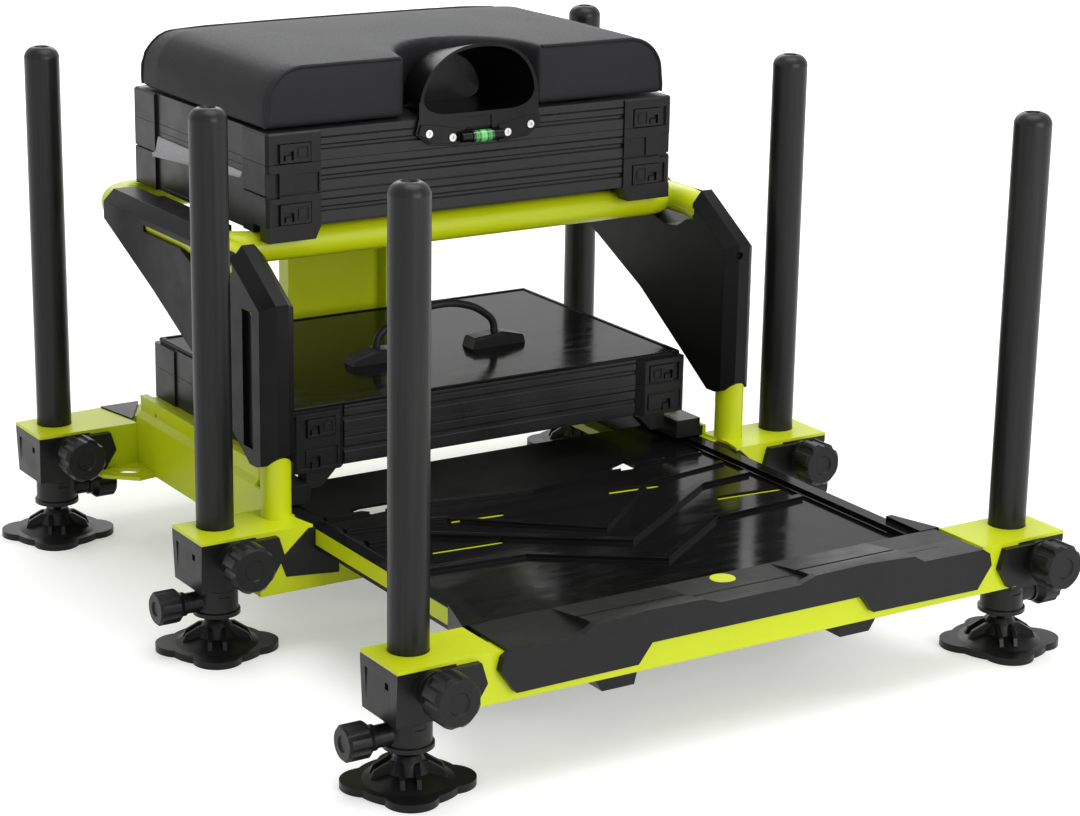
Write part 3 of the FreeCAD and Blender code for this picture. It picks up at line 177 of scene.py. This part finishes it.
def lime_powder_coat():
    deep, bright = (0.545, 0.630, 0.004), (0.580, 0.670, 0.007)
    fleck_tone, stain_tone = (0.68, 0.76, 0.04), (0.44, 0.50, 0.01)
    look = Look("lime_powder_coat")
    look.round_edges()
    cloud = look.noise(7.0, detail=4.0)
    fleck = look.ramp(look.noise(420.0, detail=2.0), (0.62, 0.78), onto=(0.0, 0.12))
    stain = look.ramp(look.noise(16.0, detail=6.0, roughness=0.7), (0.60, 0.78), onto=(0.0, 0.12))
    tone = look.mix(look.ramp(cloud, (0.35, 0.65)), deep, bright)
    tone = look.mix(fleck, tone, fleck_tone)
    tone = look.mix(stain, tone, stain_tone)
    look.set(Base_Color=tone, Roughness=look.ramp(cloud, (0.3, 0.7), onto=(0.30, 0.42)))
    look.set(Specular_IOR_Level=0.30, Coat_Weight=0.12, Coat_Roughness=0.15)
    look.bump(look.noise(650.0, detail=2.0), distance=0.00010, strength=0.45)
    return look.material


def black_anodised():
    deep, bright, cloud_tone = (0.006, 0.006, 0.006), (0.013, 0.013, 0.013), (0.009, 0.009, 0.009)
    look = Look("black_anodised_tube")
    look.round_edges()
    streak = look.noise(9.0, detail=5.0, roughness=0.6, stretch=(26, 26, 0.8))
    cloud = look.ramp(look.noise(11.0), (0.4, 0.7), onto=(0.0, 0.4))
    tone = look.mix(look.ramp(streak, (0.35, 0.68)), deep, bright)
    tone = look.mix(cloud, tone, cloud_tone)
    look.set(Base_Color=tone, Roughness=look.ramp(streak, (0.3, 0.7), onto=(0.28, 0.40)))
    look.set(Specular_IOR_Level=0.24)
    look.bump(look.noise(60.0, roughness=0.6, stretch=(14, 14, 0.6)), distance=0.00010, strength=0.35)
    look.bump(look.noise(1500.0, detail=2.0), distance=0.00003, strength=0.4)
    return look.material


def moulded_nylon(name, deep, bright, roughness, grain=1300.0, shine=0.25):
    dust_tone = tuple(1.4 * value + 0.003 for value in bright)
    look = Look(name)
    look.round_edges()
    dust = look.ramp(look.noise(160.0, detail=4.0), (0.58, 0.80), onto=(0.0, 0.5))
    tone = look.mix(look.ramp(look.noise(9.0, detail=4.0), (0.3, 0.7)), deep, bright)
    tone = look.mix(dust, tone, dust_tone)
    worn = look.ramp(look.noise(38.0, detail=4.0), (0.3, 0.7), onto=(roughness - 0.05, roughness + 0.07))
    look.set(Base_Color=tone, Roughness=worn, Specular_IOR_Level=shine)
    look.bump(look.cells(grain), distance=0.00008, strength=0.4)
    look.bump(look.noise(45.0, detail=2.0), distance=0.00012, strength=0.25)
    return look.material


def gloss_moulding():
    deep, bright, dust_tone = (0.0035, 0.0035, 0.0037), (0.0070, 0.0070, 0.0073), (0.04, 0.04, 0.039)
    look = Look("gloss_moulding")
    look.round_edges()
    scuff = look.noise(22.0, detail=6.0, roughness=0.7, stretch=(1, 5, 1), distortion=0.6)
    dust = look.ramp(look.noise(260.0), (0.68, 0.82), onto=(0.0, 0.15))
    tone = look.mix(look.ramp(look.noise(5.0), (0.3, 0.7)), deep, bright)
    tone = look.mix(dust, tone, dust_tone)
    look.set(Base_Color=tone, Roughness=look.ramp(scuff, (0.42, 0.72), onto=(0.10, 0.24)))
    look.set(Specular_IOR_Level=0.09)
    look.bump(look.noise(7.0, detail=2.0, stretch=(1, 1.6, 1)), distance=0.0011, strength=0.35)
    look.bump(look.noise(700.0, detail=2.0), distance=0.00003, strength=0.3)
    return look.material


def grained_vinyl():
    deep, bright, painted_crease_shade = (0.017, 0.017, 0.019), (0.022, 0.022, 0.024), (0.013, 0.013, 0.014)
    look = Look("grained_vinyl")
    pores = look.cells(620.0, stretch=(1.0, 1.15, 1.0))
    creases = look.cells(260.0, feature="DISTANCE_TO_EDGE")
    tone = look.mix(look.ramp(look.noise(6.0, detail=4.0), (0.3, 0.7)), deep, bright)
    # Painted shade: the grain's creases are darkened in colour as well as bumped
    tone = look.mix(look.ramp(creases, (0.0, 0.08), onto=(0.30, 0.0)), tone, painted_crease_shade)
    look.set(Base_Color=tone, Roughness=look.ramp(pores, (0.0, 0.7), onto=(0.44, 0.56)))
    look.set(Specular_IOR_Level=0.11, Sheen_Weight=0.01, Sheen_Roughness=0.45)
    look.bump(look.ramp(creases, (0.0, 0.10)), distance=0.00010, strength=0.4)
    look.bump(pores, distance=0.00010, strength=0.35)
    return look.material


def tinted_vial():
    # A bubble in the middle, a mark line on each side of it and a dark cap on each end.
    deep, bright, bubble_tone = (0.02, 0.26, 0.04), (0.04, 0.38, 0.07), (0.16, 0.55, 0.17)
    line_tone, cap_tone = (0.01, 0.05, 0.01), (0.02, 0.02, 0.02)
    line_place, line_half = 0.0045, 0.0005
    look = Look("tinted_vial")
    along = look.add("ShaderNodeSeparateXYZ")
    look.fill(along, Vector=look.place)
    offset = look.math("ABSOLUTE", along.outputs["X"])
    bubble = look.ramp(offset, (0.0026, 0.0034), onto=(1.0, 0.0))
    line = look.math("COMPARE", offset, line_place, line_half)
    cap = look.ramp(offset, (0.0092, 0.0096))
    tone = look.mix(look.ramp(look.noise(300.0, detail=2.0), (0.3, 0.7)), deep, bright)
    tone = look.mix(bubble, tone, bubble_tone)
    tone = look.mix(line, tone, line_tone)
    tone = look.mix(cap, tone, cap_tone)
    look.set(Base_Color=tone, Roughness=look.ramp(look.noise(80.0), (0.3, 0.7), onto=(0.08, 0.16)))
    look.set(Coat_Weight=0.8)
    return look.material


def plated_screw():
    deep, bright = (0.50, 0.50, 0.49), (0.72, 0.72, 0.70)
    look = Look("plated_screw")
    brushed = look.noise(900.0, roughness=0.6)
    tone = look.mix(look.ramp(brushed, (0.3, 0.7)), deep, bright)
    look.set(Base_Color=tone, Roughness=look.ramp(brushed, (0.3, 0.7), onto=(0.22, 0.38)), Metallic=1.0)
    look.bump(brushed, distance=0.00003, strength=0.4)
    return look.material


finishes = {
    "lime_coat": lime_powder_coat(),
    "black_anodised": black_anodised(),
    "black_nylon": moulded_nylon("black_nylon", (0.007, 0.007, 0.0073), (0.011, 0.011, 0.0114),
                                 roughness=0.34, shine=0.20),
    "ribbed_black": moulded_nylon("ribbed_black", (0.010, 0.010, 0.0105), (0.014, 0.014, 0.0145),
                                  roughness=0.32, grain=1600.0, shine=0.28),
    "gloss_black": gloss_moulding(),
    "grey_lip": moulded_nylon("grey_lip", (0.36, 0.36, 0.37), (0.40, 0.40, 0.41), roughness=0.36),
    "black_vinyl": grained_vinyl(),
    "green_vial": tinted_vial(),
    "zinc_screw": plated_screw(),
    "grip_rubber": moulded_nylon("grip_rubber", (0.009, 0.009, 0.0095), (0.014, 0.014, 0.0145),
                                 roughness=0.50, grain=900.0),
}

# The side covers and the pole cup are darker than the other nylon pieces: painted shade, darker copies of the
# nylon for the shadow the covers sit in and for the shaded inside of the cup
shaded_cover_finish = moulded_nylon("cover_nylon_painted_shade", (0.0045, 0.0045, 0.0047), (0.0075, 0.0075, 0.0078),
                             roughness=0.36, shine=0.12)
shaded_cup_finish = moulded_nylon("cup_nylon_painted_shade", (0.0015, 0.0015, 0.0016), (0.0035, 0.0035, 0.0036),
                           roughness=0.20, shine=0.22)
painted_shade_finish = {"side_cover_left": shaded_cover_finish, "side_cover_right": shaded_cover_finish, "pole_cup": shaded_cup_finish}


def dress_cad_nodes():
    for part in frame["record"]["subparts"]:
        node = nodes[part["node"]]
        for slot in node.material_slots:
            # The side covers and the pole cup take their darker copies of the nylon, which are painted shade
            slot.material = painted_shade_finish.get(part["node"], finishes[part["material_slot"]])


# Seat cushion: a padded body with a half-round recess in its front for the pole cup

PAD_FRONT = 0.0890
PAD_REAR = 0.3800
PAD_BASE = 0.4796
PAD_EDGE = 0.041
PAD_LEAN = 0.0015
FRONT_EASE = 0.022
REAR_EASE = 0.045
NOTCH_HALF = 0.076
NOTCH_DEPTH = 0.079
PANEL_INSET = 0.0015
CUSHION_VOXEL = 0.0036

# Stations from front to rear: place, half width, height of the crown and its drop towards the sides
PAD_STATIONS = (
    (PAD_FRONT, 0.233, 0.0625, 0.0006),
    (PAD_FRONT + FRONT_EASE, 0.234, 0.0645, 0.0012),
    (0.5 * (PAD_FRONT + PAD_REAR), 0.234, 0.0665, 0.0020),
    (PAD_REAR - REAR_EASE, 0.234, 0.0655, 0.0020),
    (PAD_REAR, 0.231, 0.0595, 0.0020),
)
SLICES = 12
FIRST_SLICE = PAD_FRONT + 0.02
CROWN_STEPS = 12
EDGE_STEPS = 14
NOTCH_STEPS = 56
NOTCH_BELOW = 0.02
NOTCH_ABOVE = 0.10

# How far the skin may puff up, how it does so, and how near the held places it stays put
CUSHION_PUFF = 0.0035
PUFF_PRESSURE = 4.0
PUFF_TENSION = 40.0
PUFF_BENDING = 6.0
PUFF_FRAMES = 20
HELD_BASE = 0.006
HELD_NOTCH = 0.008
HELD_PANEL = 0.007
HELD_SEAM = 0.006
HELD_STEPS = 40

SEAM_INSET = 0.0012
SEAM_RADIUS = 0.0018
SEAM_STEPS = 20
SEAM_GAP = 0.006


def pad_profile(y, inset, steps=EDGE_STEPS):
    # Points across the pad at one station, from the right base corner over the crown to the left one.
    places = [station[0] for station in PAD_STATIONS]
    half, height, drop = (float(np.interp(y, places, [station[kind] for station in PAD_STATIONS]))
                          for kind in (1, 2, 3))
    edge = PAD_EDGE - inset
    side = half - PAD_LEAN - inset
    shoulder = height - drop - PAD_EDGE
    points = [(half - inset, inset), (side + 0.5 * PAD_LEAN, 0.5 * shoulder)]
    for step in range(steps + 1):
        angle = 0.5 * math.pi * step / steps
        points.append((side - edge + edge * math.cos(angle), shoulder + edge * math.sin(angle)))
    for step in range(1, CROWN_STEPS + 1):
        across = 1 - step / CROWN_STEPS
        points.append(((side - edge) * across, shoulder + edge + drop * (1 - across ** 2)))
    left = [(-x, z) for x, z in reversed(points[:-1])]
    return [Vector((x, y, PAD_BASE + z)) for x, z in points + left]


def notch_outline(grow, z):
    # Outline of the recess, centred on the pad's front face.
    turns = [2 * math.pi * step / NOTCH_STEPS for step in range(NOTCH_STEPS)]
    half, depth = NOTCH_HALF + grow, NOTCH_DEPTH + grow
    return [Vector((half * math.cos(turn), PAD_FRONT + depth * math.sin(turn), z)) for turn in turns]


def bridged(name, rings):
    # A closed mesh from rings of equal length, with a flat face on each end.
    build = bmesh.new()
    loops = [[build.verts.new(point) for point in ring] for ring in rings]
    count = len(rings[0])
    for before, after in zip(loops, loops[1:]):
        for index in range(count):
            following = (index + 1) % count
            build.faces.new((before[index], before[following], after[following], after[index]))
    build.faces.new(list(reversed(loops[0])))
    build.faces.new(loops[-1])
    bmesh.ops.recalc_face_normals(build, faces=build.faces)
    mesh = bpy.data.meshes.new(name)
    build.to_mesh(mesh)
    build.free()
    made = bpy.data.objects.new(name, mesh)
    bpy.context.collection.objects.link(made)
    return made


def apply_modifiers(piece):
    graph = bpy.context.evaluated_depsgraph_get()
    mesh = bpy.data.meshes.new_from_object(piece.evaluated_get(graph))
    piece.modifiers.clear()
    piece.data = mesh


def coordinates(mesh):
    flat = np.empty(len(mesh.vertices) * 3)
    mesh.vertices.foreach_get("co", flat)
    return flat.reshape(-1, 3)


def held_points(start):
    # The base, the walls of the recess and the sewn edges of the front and rear panels stay put.
    base = start[:, 2] < PAD_BASE + HELD_BASE
    recess = np.hypot(start[:, 0] / (NOTCH_HALF + HELD_NOTCH),
                      (start[:, 1] - PAD_FRONT) / (NOTCH_DEPTH + HELD_NOTCH)) < 1.0
    sewn = np.zeros(len(start), dtype=bool)
    for y in (PAD_FRONT, PAD_REAR):
        edge = np.array([point[:] for point in pad_profile(y, PANEL_INSET, HELD_STEPS)])
        near = np.abs(start[:, 1] - y) < HELD_PANEL
        gaps = np.hypot(start[near, None, 0] - edge[None, :, 0], start[near, None, 2] - edge[None, :, 2])
        sewn[near] |= gaps.min(axis=1) < HELD_SEAM
    return base | recess | sewn


def puff_up(piece):
    # Inflates the closed skin a little as cloth between the places where it is held.
    start = coordinates(piece.data).copy()
    held = piece.vertex_groups.new(name="held")
    held.add([int(index) for index in np.nonzero(held_points(start))[0]], 1.0, "REPLACE")
    cloth = piece.modifiers.new("puff", "CLOTH")
    settings = cloth.settings
    settings.use_pressure = True
    settings.uniform_pressure_force = PUFF_PRESSURE
    settings.effector_weights.gravity = 0.0
    settings.vertex_group_mass = "held"
    settings.tension_stiffness = PUFF_TENSION
    settings.bending_stiffness = PUFF_BENDING
    cloth.collision_settings.use_collision = False
    scene = bpy.context.scene
    for number in range(1, PUFF_FRAMES + 1):
        scene.frame_set(number)
    graph = bpy.context.evaluated_depsgraph_get()
    puffed = coordinates(piece.evaluated_get(graph).to_mesh()).copy()
    piece.modifiers.clear()
    scene.frame_set(1)
    move = puffed - start
    length = np.linalg.norm(move, axis=1, keepdims=True)
    capped = move * np.minimum(1.0, CUSHION_PUFF / np.maximum(length, 1e-9))
    piece.data.vertices.foreach_set("co", (start + capped).ravel())
    piece.data.update()


def build_cushion():
    front = PAD_FRONT + PANEL_INSET
    rear = PAD_REAR - PANEL_INSET
    places = [front] + [float(y) for y in np.linspace(FIRST_SLICE, PAD_REAR - REAR_EASE, SLICES)] + [rear]
    cushion = bridged("seat_cushion", [pad_profile(y, PANEL_INSET) for y in places])
    recess = bridged("recess_cutter", [notch_outline(PANEL_INSET, PAD_BASE - NOTCH_BELOW),
                                       notch_outline(PANEL_INSET, PAD_BASE + NOTCH_ABOVE)])
    cutter = cushion.modifiers.new("recess", "BOOLEAN")
    cutter.operation = "DIFFERENCE"
    cutter.solver = "FAST"
    cutter.object = recess
    grid = cushion.modifiers.new("grid", "REMESH")
    grid.mode = "VOXEL"
    grid.voxel_size = CUSHION_VOXEL
    apply_modifiers(cushion)
    bpy.data.objects.remove(recess)
    puff_up(cushion)
    smooth = cushion.modifiers.new("smooth", "SMOOTH")
    smooth.factor = 0.5
    smooth.iterations = 2
    fine = cushion.modifiers.new("fine", "SUBSURF")
    fine.levels = fine.render_levels = 1
    apply_modifiers(cushion)
    cushion.data.polygons.foreach_set("use_smooth", [True] * len(cushion.data.polygons))
    cushion.data.materials.append(finishes["black_vinyl"])
    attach(cushion, "seat_lid")
    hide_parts("seat_pad")
    return cushion


def lay_on(piece, points, lift):
    # Points of a seam, moved to the nearest place on the cushion's skin.
    build = bmesh.new()
    build.from_mesh(piece.data)
    skin = BVHTree.FromBMesh(build)
    build.free()
    laid = []
    for point in points:
        place, normal, _, _ = skin.find_nearest(point)
        laid.append(place + normal * lift)
    return laid


def add_seam(cushion, name, points):
    laid = lay_on(cushion, points, 0.5 * SEAM_RADIUS)
    curve = bpy.data.curves.new(name, "CURVE")
    curve.dimensions = "3D"
    curve.bevel_depth = SEAM_RADIUS
    curve.bevel_resolution = 3
    line = curve.splines.new("NURBS")
    line.points.add(len(laid) - 1)
    for spot, place in zip(line.points, laid):
        spot.co = (*place, 1.0)
    line.order_u = 3
    line.use_endpoint_u = True
    seam = bpy.data.objects.new(name, curve)
    bpy.context.collection.objects.link(seam)
    curve.materials.append(finishes["black_vinyl"])
    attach(seam, "seat_lid")


def add_seams(cushion):
    # Sewn edges of the front and rear panels; the front one stops on each side of the recess.
    front = pad_profile(PAD_FRONT + SEAM_INSET, SEAM_INSET, SEAM_STEPS)
    rear = pad_profile(PAD_REAR - SEAM_INSET, SEAM_INSET, SEAM_STEPS)
    beside = NOTCH_HALF + SEAM_GAP
    crown = next(point for point in front if point.x < PAD_STATIONS[0][1] - PAD_EDGE)
    for side, name in ((1, "right"), (-1, "left")):
        run = [point for point in front if side * point.x > beside]
        end = Vector((side * beside, PAD_FRONT + SEAM_INSET, crown.z))
        run = run + [end] if side > 0 else [end] + run
        add_seam(cushion, "front_seam_" + name, run)
    add_seam(cushion, "rear_seam", rear)


# Studio: white all round where it is seen, and softer where it lights the object

WHITE = (1.0, 1.0, 1.0, 1.0)
WORLD_LIGHT = 0.55
FLOOR_SIZE = 9.0
FLOOR_TONE = 0.82

# The floor's own light near the object keeps its shadow there; far from it the floor is plain white
GLOW_NEAR = 0.34
GLOW_FAR = 1.0
GLOW_REACH = (1.3, 3.0)

# Lamps: name, place, target, width and height, watts
LAMPS = (
    ("top_lamp", (0.3, -0.3, 3.2), (0, 0, 0.2), (2.4, 2.4), 62.0),
    ("front_lamp", (0.5, -3.6, 1.3), (0, 0, 0.25), (2.4, 1.6), 62.0),
    ("rear_lamp", (1.2, 2.8, 2.0), (0, 0, 0.3), (2.2, 1.2), 26.0),
)


def add_lamp(name, place, target, size, power):
    data = bpy.data.lights.new(name, "AREA")
    data.shape = "RECTANGLE"
    data.size, data.size_y = size
    data.energy = power
    lamp = bpy.data.objects.new(name, data)
    lamp.location = place
    lamp.rotation_euler = (Vector(target) - Vector(place)).to_track_quat("-Z", "Y").to_euler()
    bpy.context.collection.objects.link(lamp)


def seen_directly(tree):
    # 1 for camera, glossy and transmission rays, 0 for the light that falls on the object.
    rays = tree.add("ShaderNodeLightPath").outputs
    seen = tree.math("MAXIMUM", rays["Is Camera Ray"], rays["Is Glossy Ray"])
    return tree.math("MAXIMUM", seen, rays["Is Transmission Ray"])


def add_world():
    world = bpy.data.worlds.new("studio")
    world.use_nodes = True
    bpy.context.scene.world = world
    sky = NodeTree(world.node_tree)
    strength = sky.ramp(seen_directly(sky), (0.0, 1.0), onto=(WORLD_LIGHT, 1.0))
    sky.fill(world.node_tree.nodes["Background"], Color=WHITE, Strength=strength)


def add_floor():
    bpy.ops.mesh.primitive_plane_add(size=FLOOR_SIZE, location=(0, 0, 0))
    floor = bpy.context.object
    floor.name = "floor"
    look = Look("pale_floor")
    reach = look.add("ShaderNodeVectorMath", operation="LENGTH")
    look.feed(reach.inputs[0], look.place)
    glow = look.ramp(reach.outputs["Value"], GLOW_REACH, onto=(GLOW_NEAR, GLOW_FAR))
    look.set(Base_Color=(FLOOR_TONE, FLOOR_TONE, FLOOR_TONE, 1.0), Roughness=0.95, Specular_IOR_Level=0.1)
    look.set(Emission_Color=WHITE, Emission_Strength=look.math("MULTIPLY", glow, seen_directly(look)))
    floor.data.materials.append(look.material)


add_camera()
dress_cad_nodes()
add_seams(build_cushion())
add_world()
for lamp_values in LAMPS:
    add_lamp(*lamp_values)
add_floor()
bpy.context.scene.view_settings.view_transform = "Standard"
